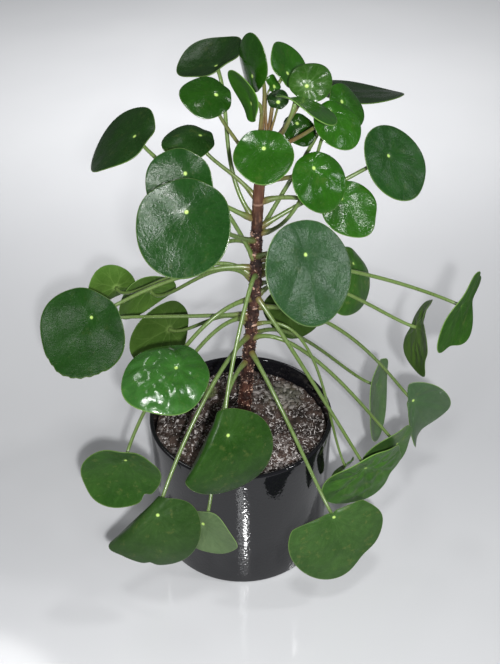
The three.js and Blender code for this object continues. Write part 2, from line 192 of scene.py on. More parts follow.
# Leaf blades
BLADE_THICKNESS = 0.0008
RIM_ROUND = 0.035
RIM_STEPS = (0.5, 0.15, 0)
FOLD_LIMIT = 100
WAVES = 4
WAVE_HEIGHT = 0.0008
TIP_POINT = 0.05
TIP_SHARPNESS = 12
SCALLOPS = 5
SCALLOP_DEPTH = 0.015
CUT_SHARPNESS = 8
FACE_SIZE = 0.0014
LEAST_SIDES = 40
LEAST_RINGS = 8
VEINS = 9
VEIN_WARP = 0.12
VEIN_DEPTH = 0.00003
VEIN_WIDTH = 0.0011
VEIN_LINE = 0.0009
VEINS_FROM = 0.003
VEINLESS_RIM = 0.35
FORK_LINE = 0.0006
FORKS_FROM = 0.4
FORK_SPREAD = 0.42
PUCKER = 0.00028
PUCKER_LONG = 0.0052
PUCKER_WIDE = 0.0047
PUCKERS_FROM = 0.006
QUILT_DEPTH = 0.0014
QUILT_WIDTH = 0.0024
BLISTER_DEPTH = 0.0024
BLISTER_SIZE = 0.0092
RELIEF_FULL_AT = 0.022
DISH = 0.035
DISH_REACH = 0.22
HUB_DIMPLE = 0.0005
HUB_RADIUS = 0.0022
HUB_SPOT = (0.0006, 0.0017)
HUB_GLOW = (0.0012, 0.0055)
BLADE_MAP = 0.2
WRINKLES_AROUND = 7
WRINKLES_OUTWARD = 500
STREAKS_AROUND = 9
STREAKS_OUTWARD = 140

# Floor and lights: metres, watts, degrees
FLOOR_SIZE = 8
FLOOR_DROP = 0.0002
AREA_LIGHTS = [
    dict(name="flash", place=(0.042, -0.65, 0.66), aim=(0.01, 0, 0.2), size=0.025, power=7.7),
    dict(name="ceiling", place=(-0.03, -0.76, 1.85), aim=(0, 0, 0.2), size=0.22, power=7.5),
    dict(name="far floor", place=(0, 0.75, 0.9), aim=(0, 2, 0), size=0.8, power=17),
]
SOFT_LIGHTS = [
    dict(name="window", at=(-18, 20), spread=8, power=0.24, tint=(0.93, 0.97, 1.0)),
    dict(name="side window", at=(15, 27), spread=7, power=0.03, tint=(0.93, 0.97, 1.0)),
    dict(name="high window", at=(-92, 50), spread=6, power=0.38, tint=(0.97, 0.99, 1.0)),
    dict(name="lamp", at=(-11, 57), spread=5, power=0.42, tint=(1, 1, 1)),
    dict(name="skylight", at=(122, 58), spread=13, power=0.26, tint=(1, 1, 1)),
    dict(name="room", at=(-121, 13), spread=5, power=0.5, tint=(1, 1, 1)),
]
WORLD_STRENGTH = 0.12

# How the faces of blades look: dark green, light green, vein colour, roughness, specular level and, for some,
# how much their vein lines and flecks show
LOOKS = {
    "deep": ((0.007, 0.025, 0.004), (0.012, 0.040, 0.007), (0.03, 0.08, 0.02), 0.22, 0.15),
    "rich": ((0.009, 0.045, 0.005), (0.017, 0.073, 0.009), (0.04, 0.12, 0.022), 0.2, 0.25),
    "plain": ((0.009, 0.045, 0.005), (0.017, 0.073, 0.009), (0.04, 0.12, 0.022), 0.24, 0.16),
    "fresh": ((0.009, 0.051, 0.002), (0.018, 0.084, 0.004), (0.045, 0.14, 0.02), 0.12, 0.4),
    "wet": ((0.012, 0.052, 0.007), (0.022, 0.085, 0.011), (0.05, 0.13, 0.03), 0.12, 0.9),
    "dull": ((0.007, 0.041, 0.005), (0.013, 0.061, 0.008), (0.05, 0.11, 0.035), 0.15, 0.5),
    "soft": ((0.015, 0.055, 0.017), (0.025, 0.079, 0.023), (0.06, 0.13, 0.05), 0.19, 0.5),
    "dark": ((0.012, 0.044, 0.005), (0.028, 0.078, 0.011), (0.05, 0.12, 0.03), 0.3, 0.11, 0.08, 0.3),
    "mid": ((0.020, 0.055, 0.010), (0.040, 0.092, 0.021), (0.06, 0.13, 0.035), 0.34, 0.11, 0.1, 0.35),
    "worn": ((0.014, 0.045, 0.006), (0.032, 0.084, 0.014), (0.08, 0.16, 0.05), 0.26, 0.05, 0.2, 0.25),
    "quiet": ((0.010, 0.042, 0.003), (0.026, 0.080, 0.009), (0.07, 0.15, 0.04), 0.5, 0.02, 0.2, 0.25),
    "faded": ((0.031, 0.072, 0.026), (0.047, 0.097, 0.035), (0.08, 0.15, 0.06), 0.3, 0.35),
    "young": ((0.020, 0.072, 0.006), (0.038, 0.110, 0.013), (0.2, 0.32, 0.13), 0.14, 0.4, 0.13),
    "grey": ((0.060, 0.102, 0.042), (0.085, 0.128, 0.056), (0.12, 0.18, 0.08), 0.5, 0.2),
    "matt": ((0.020, 0.090, 0.004), (0.038, 0.15, 0.008), (0.045, 0.14, 0.02), 0.5, 0.03),
}

# One row for each leaf: the part's own values, in millimetres and degrees, then the dressed blade's look,
# shade, relief and nicks. The shade scales the blade's colour on both sides: partly the leaf's own tone,
# partly painted shade and painted light, lower for leaves that lay in shadow and higher for leaves that
# caught more light
LEAF_ROWS = [
    # Around the growing tip: leaf_01 to leaf_13
    dict(hub=(-12, 32, 407), radius=24.4, face=(180, 67), spin=-70, inset=0.37, roll=(21, 23), start=305,
         lift=40, swing=18, look="deep", shade=0.9),
    dict(hub=(12, 8, 409), radius=18, face=(-149, 1), spin=-147, inset=0.43, roll=(-20, -12), start=354,
         lift=70, look="fresh", shade=0.7),
    dict(hub=(-11, -15, 406), radius=16, face=(-65, 60), spin=-95, inset=0.4, roll=(-11, -2), start=334,
         lift=80, look="fresh", blister=0.3, shade=0.6),
    dict(hub=(11, -5, 396), radius=18, face=(-159, -6), spin=-151, roll=(10, 30), start=350, lift=60,
         look="matt"),
    dict(hub=(35, 25, 404), radius=17, face=(-29, 40), spin=124, inset=0.38, roll=(8, 3), start=361, lift=60,
         look="fresh"),
    dict(hub=(46, -5, 407), radius=14, face=(-89, 48), spin=141, inset=0.31, roll=(-20, -12), start=361,
         lift=50, look="young", quilt=0.5, blister=0.4, shade=0.8),
    dict(hub=(71, 62, 377), radius=34, face=(38, 77), spin=-60, inset=0.39, roll=(4, 13), start=292, lift=45,
         look="deep"),
    dict(hub=(70, 8, 391), radius=16, face=(-40, 38), spin=42, inset=0.34, roll=(-16, -10), start=296,
         lift=12, swing=-22, look="fresh"),
    dict(hub=(61, -10, 392), radius=17, face=(-59, 57), spin=13, inset=0.55, roll=(-16, -19), start=358,
         lift=30, look="fresh", quilt=0.3, crinkle=0.35, blister=0.4, shade=1.15),
    dict(hub=(38, -31, 408), radius=20, face=(39, 67), spin=-77, inset=0.42, roll=(11, -14), start=361,
         lift=40, look="fresh", shade=1.25),
    dict(hub=(42, 22, 370), radius=12, face=(-64, 53), spin=7, start=350, lift=30, look="fresh", shade=0.65),
    dict(hub=(28, -6, 397), radius=7, face=(-92, 50), spin=180, start=366, lift=70, look="deep", shade=0.7),
    dict(hub=(26, 15, 399), radius=6, face=(-38, 28), spin=148, start=366, lift=80, look="fresh"),
    # Upper leaves: leaf_14 to leaf_22
    dict(hub=(18, -50, 386), radius=18.6, face=(-91, 51), spin=-1, roll=(19, 16), start=350, lift=30,
         look="fresh", crinkle=0.4, shade=0.9),
    dict(hub=(49, -45, 370), radius=19, face=(-61, 42), spin=8, inset=0.47, roll=(0, -17), start=336,
         lift=33, look="fresh", quilt=0.35, crinkle=0.25, blister=0.35),
    dict(hub=(70, -20, 335), radius=21, face=(-65, 49), spin=20, inset=0.48, roll=(2, 7),
         dents=((22, 25, 0.12), (330, 25, 0.06)), start=320, lift=34, swing=18, look="fresh", crinkle=0.4),
    dict(hub=(104, 10, 351), radius=28, face=(-43, 42), spin=18, inset=0.25, roll=(3, 6),
         dents=((6, 28, 0.08),), start=300, lift=32, look="dull", crinkle=0.3, shade=0.95),
    dict(hub=(-66, 0, 372), radius=28, face=(-153, 57), spin=-51, inset=0.47, roll=(6, -12), start=307,
         lift=27, swing=6, look="deep", shade=0.95),
    dict(hub=(-24, 20, 363), radius=18, face=(-41, 75), spin=-112, inset=0.48, roll=(-25, -24), start=321,
         lift=57, swing=-7, look="deep", shade=1.35),
    dict(hub=(-31, -40, 365), radius=23, face=(-109, 21), spin=-21, inset=0.36, roll=(6, 15), start=270,
         lift=69, swing=-12, look="dull", crinkle=1, blister=0.05, shade=0.78),
    dict(hub=(-29, -75, 357), radius=30, face=(-101, 40), spin=-1, inset=0.32, roll=(17, 3), start=290,
         lift=31, look="dull", crinkle=1, blister=0.05, shade=0.72),
    dict(hub=(43, -80, 329), radius=32, face=(-54, 31), spin=-14, inset=0.33, roll=(10, 3), start=276,
         lift=40, look="soft", quilt=0.12, crinkle=0.8, blister=0.05, shade=0.72),
    # Middle leaves: leaf_23 to leaf_29
    dict(hub=(90, 45, 242), radius=28, face=(-24, 35), spin=-44, inset=0.48, roll=(-17, -32), start=258,
         lift=20, look="dark", shade=1.6),
    dict(hub=(43, 52, 200), radius=24, face=(75, 5), start=249, lift=10, look="dark", shade=0.5),
    dict(hub=(-107, -20, 240), radius=33.4, face=(-106, 26), spin=-25, inset=0.41, roll=(4, 8), start=267,
         lift=13, swing=-7, look="plain", crinkle=0.6, blister=0.05, shade=0.66,
         nicks=((346, 3, 0.022), (353, 3, 0.03), (1, 3, 0.02), (9, 3, 0.03), (17, 3, 0.025),
                (26, 3, 0.03), (35, 3, 0.02), (43, 3, 0.025))),
    dict(hub=(-98, 44, 223), radius=24, face=(121, 18), spin=84, inset=0.33, roll=(36, -29), start=256,
         lift=45, swing=-18, bow=(0, -12, 6), shade=1.1),
    dict(hub=(-73, 58, 211), radius=27, face=(117, 27), spin=69, inset=0.21, roll=(-7, -32), start=252,
         lift=40, swing=-16, shade=1.3),
    dict(hub=(-58, 40, 184), radius=30, face=(135, -5), spin=89, inset=0.29, roll=(-17, 3), start=211,
         lift=45, swing=-22, shade=0.7),
    dict(hub=(-44, -60, 224), radius=31, face=(-67, 76), spin=-75, inset=0.29, roll=(-29, -14), start=222,
         lift=26, swing=-38, look="wet", quilt=0.4, crinkle=0.15, blister=1, shade=1.35),
    # Lower leaves, outside the pot: leaf_30 to leaf_40
    dict(hub=(-88, -60, 134), radius=31, face=(-95, -14), spin=-18, inset=0.5, roll=(12, 29),
         dents=((340, 14, -0.04), (12, 12, 0.02)), start=240, lift=22, swing=9, look="dark", blister=0.25,
         shade=1.05, nicks=((36, 5, 0.1),)),
    dict(hub=(-8, -90, 187), radius=36, face=(-64, 25), spin=-3, inset=0.49, roll=(-13, -30),
         fold=(-123, 0.24, 700, 110), start=257, lift=65, swing=17, look="dark", shade=0.83),
    dict(hub=(-59.1, -116, 134.7), radius=35.8, face=(-86, 25), spin=-5, inset=0.55, roll=(-30, -28),
         fold=(-130, 0.05, 400), dents=((40, 45, 0.1), (345, 25, 0.09), (170, 40, 0.2), (312, 10, -0.15)),
         start=208, lift=9, look="mid", blister=0.2, shade=0.75, nicks=((354, 4, 0.07),)),
    dict(hub=(-28.1, -103, 109.9), radius=21, face=(-112, 14), spin=33, inset=0.5, roll=(19, -5),
         dents=((42, 14, -0.1), (335, 40, 0.22)), start=183, lift=8, swing=-15, look="grey", shade=1.03),
    dict(hub=(70, -92, 103), radius=38, face=(-74, 15), spin=3, inset=0.55, roll=(-8, -8), cut=(190, 0.12),
         dents=((24, 14, 0.1), (75, 18, -0.08)), start=194, lift=-8, swing=-11, look="mid", blister=0.3,
         shade=0.98),
    dict(hub=(99, -45, 107), radius=37, face=(-62, -18), spin=7, inset=0.37, roll=(-14, 14),
         dents=((60, 11, -0.13), (40, 8, 0.06), (350, 25, 0.09)), start=245, lift=-36, swing=-20,
         look="worn", quilt=0.9, crinkle=0.3, blister=0.9, shade=1.6),
    dict(hub=(127, -20, 109), radius=25, face=(-54, -8), spin=-75, inset=0.3, roll=(13, -13), start=203,
         lift=45, swing=-28, look="mid", shade=1.35),
    dict(hub=(144, 15, 125), radius=29, face=(-65, 10), spin=29, inset=0.42, roll=(59, -8), cut=(236, 0.2),
         dents=((10, 25, 0.08), (350, 16, 0.1), (321, 10, -0.18)), start=232, lift=7, swing=-5, look="faded",
         quilt=0.5),
    dict(hub=(118, 50, 113), radius=35.5, face=(-22, 4), spin=-34, roll=(13, 13), dents=((140, 18, -0.15),),
         start=206, lift=-8, swing=30, look="mid", shade=1.7),
    dict(hub=(138, 10, 205), radius=31, face=(-7, -13), spin=-46, inset=0.21, roll=(-5, 33),
         dents=((262, 22, 0.3), (96, 20, 0.3), (298, 18, -0.25)), start=238, lift=44, swing=34, look="worn",
         quilt=0.7, crinkle=0.3, blister=0.6, shade=0.7),
    dict(hub=(170, 10, 225), radius=36, face=(-34, -8), spin=18, inset=0.28, roll=(-4, 14),
         dents=((338, 22, 0.17), (50, 18, 0.22), (68, 12, -0.25), (15, 18, -0.1)), start=275, lift=-2,
         swing=-6, look="quiet", blister=0.3, shade=1.5),
    # Mostly hidden in the photograph: leaf_41 to leaf_44
    dict(hub=(85.6, -28, 91.3), radius=13, face=(-41, -28), start=216, lift=15, bow=(0, 0, 22)),
    dict(hub=(-107, 8, 217), radius=19, face=(-110, 25), start=227, lift=-4, swing=5),
    dict(hub=(-36, 55, 259), radius=24, face=(110, 40), start=283, lift=20),
    dict(hub=(60, 70, 218), radius=24, face=(60, 30), start=262, lift=20),
]
USUAL_LEAF = dict(
    spin=0, inset=0.35, roll=(-12, -14), fold=None, cut=None, dents=(), nicks=(), swing=0, bow=(0, 0, 0),
    look="rich", shade=1, quilt=0.02, blister=0.12, crinkle=0.1,
)
LEAVES = [{**USUAL_LEAF, **row} for row in LEAF_ROWS]


def skin(first, rings, last):
    """Points and outward faces of a closed surface: a pole, rings of points, and the other pole."""
    count, sides = rings.shape[:2]
    points = np.vstack([first, rings.reshape(-1, 3), last])
    side = np.arange(sides)
    after = (side + 1) % sides
    low = 1 + np.arange(count - 1)[:, None] * sides
    quads = np.stack([low + side, low + sides + side, low + sides + after, low + after], -1).reshape(-1, 4)
    top = len(points) - 1
    fans = np.vstack([
        np.stack([0 * side, 1 + side, 1 + after], -1),
        np.stack([0 * side + top, top - sides + after, top - sides + side], -1),
    ])
    triangles = np.vstack([fans, quads[:, :3], quads[:, [0, 2, 3]]])
    a, b, c = points[triangles].transpose(1, 0, 2)
    faces = fans.tolist() + quads.tolist()
    if np.einsum("ij,ij->", a, np.cross(b, c)) < 0:
        faces = [face[::-1] for face in faces]
    return points, faces


def joined(parts):
    """Several (points, faces) as one."""
    points, faces, start = [], [], 0
    for part_points, part_faces in parts:
        points.append(part_points)
        faces += [[start + i for i in face] for face in part_faces]
        start += len(part_points)
    return np.vstack(points), faces


def add_piece(name, points, faces, materials, slot, nodes):
    """A smooth mesh object that rides on the plant and stands for its CAD nodes."""
    mesh = bpy.data.meshes.new(name)
    mesh.from_pydata(points.tolist(), [], faces)
    mesh.shade_smooth()
    piece = bpy.data.objects.new(name, mesh)
    bpy.context.collection.objects.link(piece)
    for material in materials:
        mesh.materials.append(material)
    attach(piece, BODY)
    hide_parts(*nodes)
    return piece


def store(piece, name, values):
    """Gives each point of the piece a number that its material reads by name."""
    layer = piece.data.attributes.new(name, "FLOAT", "POINT")
    layer.data.foreach_set("value", np.asarray(values, dtype=np.float32))


def store_map(piece, name, pairs):
    """Gives the piece a UV map from a pair of numbers for each point."""
    corners = np.empty(len(piece.data.loops), dtype=np.int32)
    piece.data.loops.foreach_get("vertex_index", corners)
    layer = piece.data.uv_layers.new(name=name)
    layer.uv.foreach_set("vector", np.asarray(pairs, dtype=np.float32)[corners].ravel())


class Shader:
    """A material under construction: each call adds a node and returns its output."""

    def __init__(self, name):
        self.material = bpy.data.materials.new(name)
        self.material.use_nodes = True
        self.tree = self.material.node_tree
        self.surface = self.tree.nodes["Principled BSDF"]

    def add(self, kind, inputs=(), output=0, **settings):
        node = self.tree.nodes.new("ShaderNode" + kind)
        for key, value in settings.items():
            setattr(node, key, value)
        for key, value in dict(inputs).items():
            self.feed(node.inputs[key], value)
        return node.outputs[output]

    def feed(self, socket, value):
        if isinstance(value, bpy.types.NodeSocket):
            self.tree.links.new(value, socket)
        else:
            socket.default_value = value

    def math(self, operation, a, b=0.0, c=0.0, clamp=False):
        return self.add("Math", {0: a, 1: b, 2: c}, operation=operation, use_clamp=clamp)

    def product(self, *factors):
        result = factors[0]
        for factor in factors[1:]:
            result = self.math("MULTIPLY", result, factor)
        return result

    def total(self, *terms):
        """The sum of terms, each a number, a socket or a tuple of factors."""
        first, *rest = [self.product(*term) if isinstance(term, tuple) else term for term in terms]
        for term in rest:
            first = self.math("ADD", first, term)
        return first

    def ramp(self, value, low, high, start=0.0, end=1.0):
        """start below low, end above high, and a smooth step between them."""
        return self.add(
            "MapRange",
            {"Value": value, "From Min": low, "From Max": high, "To Min": start, "To Max": end},
            interpolation_type="SMOOTHSTEP",
        )

    def mix(self, amount, first, second):
        """One colour over another. Each is a socket, or its red, green and blue."""
        tints = [tint if isinstance(tint, bpy.types.NodeSocket) else (*tint, 1.0) for tint in (first, second)]
        return self.add("Mix", {0: amount, 6: tints[0], 7: tints[1]}, output=2, data_type="RGBA")

    def paint(self, base, *coats):
        """Colours laid over a base in turn. A coat is the factors of its amount, then its colour."""
        for *amount, tint in coats:
            base = self.mix(self.product(*amount), base, tint)
        return base

    def place(self):
        return self.add("TexCoord", output="Object")

    def drawn_out(self, share):
        """Places squeezed along Z, so that a pattern is drawn out upwards."""
        return self.add("Mapping", {"Vector": self.place(), "Scale": (1, 1, share)})

    def noise(self, scale, detail=2.0, roughness=0.5, place=None):
        return self.add(
            "TexNoise",
            {"Vector": place or self.place(), "Scale": scale, "Detail": detail, "Roughness": roughness},
        )

    def number(self, name):
        return self.add("Attribute", attribute_name=name, output="Fac")

    def scaled(self, tint, amount):
        return self.add("VectorMath", {0: tint, "Scale": amount}, operation="SCALE")

    def bump(self, height, distance, strength=1.0):
        normal = self.add("Bump", {"Strength": strength, "Distance": distance, "Height": height})
        self.feed(self.surface.inputs["Normal"], normal)

    def set(self, **values):
        """Sets the surface's own sockets, with an underscore for a space, and returns the material."""
        for key, value in values.items():
            self.feed(self.surface.inputs[key.replace("_", " ")], value)
        return self.material


def circle(sides):
    """Turns once round, in radians."""
    return np.arange(sides) * 2 * math.pi / sides


def unit(vectors):
    return vectors / np.linalg.norm(vectors, axis=-1, keepdims=True)


def with_poles(values):
    """One number for each point of a skin, from a row of them for each ring."""
    return np.concatenate([values[:1, 0], values.ravel(), values[-1:, 0]])


def lumps(x, y, size, level):
    """Smooth noise at each place of a grid of flat places."""
    return np.array([
        [noise.noise((a / size, b / size, level)) for a, b in zip(*row)] for row in zip(x, y)
    ])


def lerp(a, b, t):
    return a + (b - a) * t


# Pot


def pot_material():
    shader = Shader("glossy black pot")
    cloud = shader.noise(18.0, 3.0)
    peel = shader.noise(440.0, 1.0)
    ripple = shader.noise(110.0, 2.0)
    dust = shader.ramp(shader.noise(260.0, 4.0, 0.7), 0.62, 0.8)
    rough = shader.total(shader.ramp(cloud, 0.3, 0.7, 0.02, 0.04), (dust, 0.1))
    base = shader.paint((0.006, 0.006, 0.0075), (dust, 0.45, (0.025, 0.024, 0.023)))
    shader.bump(shader.total(peel, (ripple, 0.12)), 0.00009, 1.0)
    return shader.set(Base_Color=base, Roughness=rough, IOR=1.5)


def pot_profile():
    """Radius and height along the section: the underside, up the outside, over the rim, and down inside."""
    lip = POT_WALL / 2
    foot = [(POT_BASE_RADIUS - POT_EDGE * (1 - math.sin(turn)), POT_EDGE * (1 - math.cos(turn)))
            for turn in np.linspace(0, math.pi / 2, LIP_POINTS)]
    outside = [(lerp(POT_BASE_RADIUS, POT_RIM_RADIUS, t), lerp(POT_EDGE, POT_HEIGHT - lip, t))
               for t in np.linspace(0, 1, WALL_POINTS)[1:]]
    rim = [(POT_RIM_RADIUS - lip + lip * math.cos(turn), POT_HEIGHT - lip + lip * math.sin(turn))
           for turn in np.linspace(0, math.pi, 2 * LIP_POINTS)[1:]]
    inside = [(lerp(POT_RIM_RADIUS, POT_BASE_RADIUS, t) - POT_WALL, lerp(POT_HEIGHT - lip, POT_FLOOR, t))
              for t in np.linspace(0, 1, WALL_POINTS)[1:]]
    flat = POT_BASE_RADIUS / 2
    return [(flat, 0)] + foot + outside + rim + inside + [(flat - POT_WALL, POT_FLOOR)]


def lathe(profile, sides):
    turns = circle(sides)
    radius, height = np.array(profile).T
    rings = np.stack([
        radius[:, None] * np.cos(turns), radius[:, None] * np.sin(turns), height[:, None] + 0 * turns,
    ], -1)
    return skin((0, 0, height[0]), rings, (0, 0, height[-1]))


def pot():
    add_piece("pot_glossy", *lathe(pot_profile(), POT_SIDES), [pot_material()], "pot", ["pot"])


# Soil


def soil_height(x, y):
    """The part's own soil surface; x and y in metres."""
    x, y = x / MM, y / MM
    return SOIL_TOP + SOIL_BUMP * (
        0.7 * np.sin(0.11 * x + 1.3) * np.cos(0.13 * y - 0.4)
        + 0.5 * np.sin(0.37 * x + 0.23 * y) * np.cos(0.41 * y - 0.17 * x)
    )


def pot_inside(height):
    return lerp(POT_RIM_RADIUS, POT_BASE_RADIUS, (POT_HEIGHT - height) / POT_HEIGHT) - POT_WALL


def near(x, y, middle, radius):
    """1 at the middle of a round patch, and 0 outside it."""
    distance = np.hypot(x - middle[0], y - middle[1]) / radius
    return np.clip(1.4 - 1.4 * distance ** 2, 0, 1)


def soil_material():
    shader = Shader("dry potting soil")
    grain = shader.noise(900.0, 4.0, 0.65)
    patch = shader.noise(70.0, 3.0)
    fleck = shader.ramp(shader.noise(1500.0, 2.0), 0.66, 0.74)
    pale = shader.mix(shader.ramp(grain, 0.3, 0.7), (0.4, 0.35, 0.33), (0.95, 0.91, 0.89))
    base = shader.paint(
        (0.012, 0.008, 0.006),
        (shader.ramp(patch, 0.35, 0.65), (0.06, 0.040, 0.032)),
        (shader.number("tint"), pale),
        (fleck, 0.5, (0.42, 0.36, 0.33)),
        (shader.number("moss"), 0.75, (0.12, 0.16, 0.05)),
    )
    shader.bump(grain, 0.0004, 0.8)
    return shader.set(
        Base_Color=base, Roughness=shader.ramp(grain, 0.2, 0.8, 0.8, 1.0), Specular_IOR_Level=0.25,
    )


def soil_bed():
    """The soil's plug, with a crumbled top."""
    turns = circle(SOIL_SIDES)
    edge = pot_inside(SOIL_TOP) - SOIL_GAP
    radius = (np.arange(1, SOIL_RINGS + 1) / SOIL_RINGS)[:, None] * edge
    x, y = radius * np.cos(turns), radius * np.sin(turns)
    rough = 1.3 * lumps(x, y, CLOD_SIZE, 0.3) + 0.5 * lumps(x, y, SMALL_CLOD_SIZE, 4.1)
    z = soil_height(x, y) + SOIL_BUMP * rough * np.clip((edge - radius) / SOIL_PLAIN_EDGE, 0, 1)
    top = np.stack([x, y, z], -1)
    side = top[-1:] * (1, 1, 0) + (0, 0, SOIL_TOP - SOIL_DEPTH)
    return skin((0, 0, soil_height(0, 0)), np.concatenate([top, side]), (0, 0, SOIL_TOP - SOIL_DEPTH))


def crumb(rng, middle, size, long_side=1.0, flat=1.0):
    """A rough lump: a small ball with pushed points, turned at random."""
    falls = np.arange(1, CRUMB_RINGS + 1) * math.pi / (CRUMB_RINGS + 1)
    turns = circle(CRUMB_SIDES)
    ball = np.stack([
        np.sin(falls)[:, None] * np.cos(turns), np.sin(falls)[:, None] * np.sin(turns),
        np.cos(falls)[:, None] + 0 * turns,
    ], -1)
    points, faces = skin((0, 0, 1), ball, (0, 0, -1))
    points = points * (1 + rng.uniform(-CRUMB_ROUGH, CRUMB_ROUGH, (len(points), 1)))
    points = points * rng.uniform(0.6, 1.0, 3) * (long_side, 1, flat)
    turn = Matrix.Rotation(rng.uniform(0, 2 * math.pi), 3, "Z")
    tilt = Matrix.Rotation(rng.uniform(-CRUMB_TILT, CRUMB_TILT), 3, "Y")
    return points @ np.array(turn @ tilt).T * size + middle, faces


def soil_grains(rng):
    """Size, long side, flatness, shade and, for what lies in one spot only, the spot of each grain."""
    for _ in range(CRUMBS):
        size = lerp(*CRUMB_SIZE, rng.uniform() ** 3)
        shade = rng.choice([0.0, 0.1, 0.25, 0.5], p=[0.5, 0.25, 0.17, 0.08])
        yield size, 1.8 if rng.uniform() < 0.3 else 1, 1, shade, None
    for _ in range(SHREDS):
        yield rng.uniform(*SHRED_SIZE), rng.uniform(*SHRED_LONG), SHRED_FLAT, rng.uniform() ** 1.9, None
    for _ in range(PALE_SHREDS):
        size, long_side = rng.uniform(*SHRED_SIZE), rng.uniform(*SHRED_LONG)
        yield size, long_side, SHRED_FLAT, rng.uniform(), rng.normal(PALE_AT, PALE_SPREAD)
    for _ in range(LITTER):
        size, shade = rng.uniform(*LITTER_SIZE), rng.uniform(0.02, 0.3)
        yield size, 1.6, 0.3, shade, rng.normal(LITTER_AT, LITTER_SPREAD)


def soil():
    rng = np.random.default_rng(SEED)
    edge = pot_inside(SOIL_TOP) - SOIL_GAP
    parts = [soil_bed()]
    tints = [np.zeros(len(parts[0][0]))]
    for size, long_side, flat, shade, spot in soil_grains(rng):
        turn, out = rng.uniform(0, 2 * math.pi), math.sqrt(rng.uniform()) * edge
        x, y = (out * math.cos(turn), out * math.sin(turn)) if spot is None else spot
        most = edge - size * long_side
        x, y = (x, y) * np.array(most / max(math.hypot(x, y), most))
        part = crumb(rng, (x, y, soil_height(x, y) + size * 0.5), size, long_side, flat)
        parts.append(part)
        tints.append(np.full(len(part[0]), shade))
    points, faces = joined(parts)
    piece = add_piece("soil_crumbs", points, faces, [soil_material()], "soil", ["soil"])
    store(piece, "tint", np.concatenate(tints))
    x, y = points[:, 0], points[:, 1]
    green = near(x, y, MOSS_AT, MOSS_RADIUS)
    store(piece, "moss", np.maximum(green, LITTER_GREEN * near(x, y, LITTER_AT, LITTER_RADIUS)))


# Stem


def curve_points(control, amount):
    """Points of a centripetal Catmull-Rom curve: amount counts whole spans from the first control point."""
    control = np.asarray(control, dtype=float)
    last = len(control) - 1
    span = min(int(math.floor(amount)), last - 1)
    t = amount - span
    b, c = control[span], control[span + 1]
    a = control[span - 1] if span else 2 * b - c
    d = control[span + 2] if span + 2 <= last else 2 * c - b
    steps = [math.sqrt(np.linalg.norm(q - p)) for p, q in ((a, b), (b, c), (c, d))]
    start = ((b - a) / steps[0] - (c - a) / (steps[0] + steps[1]) + (c - b) / steps[1]) * steps[1]
    end = ((c - b) / steps[1] - (d - b) / (steps[1] + steps[2]) + (d - c) / steps[2]) * steps[1]
    return b + start * t + (3 * c - 3 * b - 2 * start - end) * t ** 2 + (2 * b - 2 * c + start + end) * t ** 3


def stem_at(height):
    """Middle and radius of the stem at a height."""
    heights = [row["at"][2] * MM for row in STEM_LINE]
    i = max(n for n in range(len(heights) - 1) if n == 0 or heights[n] <= height)
    t = (height - heights[i]) / (heights[i + 1] - heights[i])
    middle = curve_points([row["at"] for row in STEM_LINE], i + t)
    return middle * MM, lerp(STEM_LINE[i]["radius"], STEM_LINE[i + 1]["radius"], t) * MM


def stem_material():
    shader = Shader("stem bark")
    streak = shader.noise(420.0, 4.0, 0.6, place=shader.drawn_out(0.25))
    patch = shader.noise(160.0, 3.0)
    young = shader.mix(shader.ramp(streak, 0.35, 0.7), (0.075, 0.028, 0.015), (0.16, 0.075, 0.042))
    base = shader.paint(
        (0.014, 0.005, 0.004),
        (shader.ramp(patch, 0.35, 0.7), (0.056, 0.020, 0.013)),
        (shader.ramp(streak, 0.55, 0.75), 0.6, (0.3, 0.15, 0.085)),
        (shader.number("smooth"), young),
        (shader.ramp(shader.number("scar"), 0.35, 0.9, 0.0, 0.85), (0.5, 0.32, 0.24)),
    )
    shader.bump(streak, 0.0004, 0.7)
    return shader.set(
        Base_Color=base, Roughness=shader.ramp(streak, 0.3, 0.8, 0.4, 0.75), Specular_IOR_Level=0.4,
    )


def stem_scars(rng, heights, turns, radii):
    """Leaf scars in a spiral up the bark: how far each point stands out, and how pale it is."""
    rise, pale = np.zeros((2, len(heights), STEM_SIDES))
    for i, height in enumerate(np.arange(SOIL_TOP, BARK_SMOOTH_FROM, SCAR_STEP)):
        middle = math.radians(i * SCAR_TURN) + rng.normal(0, 0.25)
        wide = SCAR_WIDTH * rng.uniform(0.7, 1.25)
        tall = SCAR_HEIGHT * rng.uniform(0.7, 1.3)
        across = ((turns - middle + math.pi) % (2 * math.pi) - math.pi) * radii / wide
        along = (heights[:, None] - height - rng.normal(0, SCAR_STRAY)) / tall
        far = across ** 2 + along ** 2
        rise += SCAR_RISE * np.exp(-far ** 2) * rng.uniform(0.5, 1.2)
        ring = np.exp(-((far - 0.25) / 0.45) ** 2) * (along > -0.4)
        pale = np.maximum(pale, ring * rng.uniform(0.15, 1.0))
    return rise, pale


def stem_flakes(rng):
    """Points, faces and shade of each flake of bark."""
    for _ in range(FLAKES):
        height, turn = rng.uniform(SOIL_TOP, BARK_SMOOTH_FROM), rng.uniform(0, 2 * math.pi)
        middle, radius = stem_at(height)
        size = lerp(*FLAKE_SIZE, rng.uniform() ** 2)
        place = middle + radius * np.array((math.cos(turn), math.sin(turn), 0))
        points, faces = crumb(rng, place, size, 1.8, 0.7)
        yield points, faces, rng.choice([0.0, 0.45, 0.8, 1.0], p=[0.45, 0.25, 0.18, 0.12])


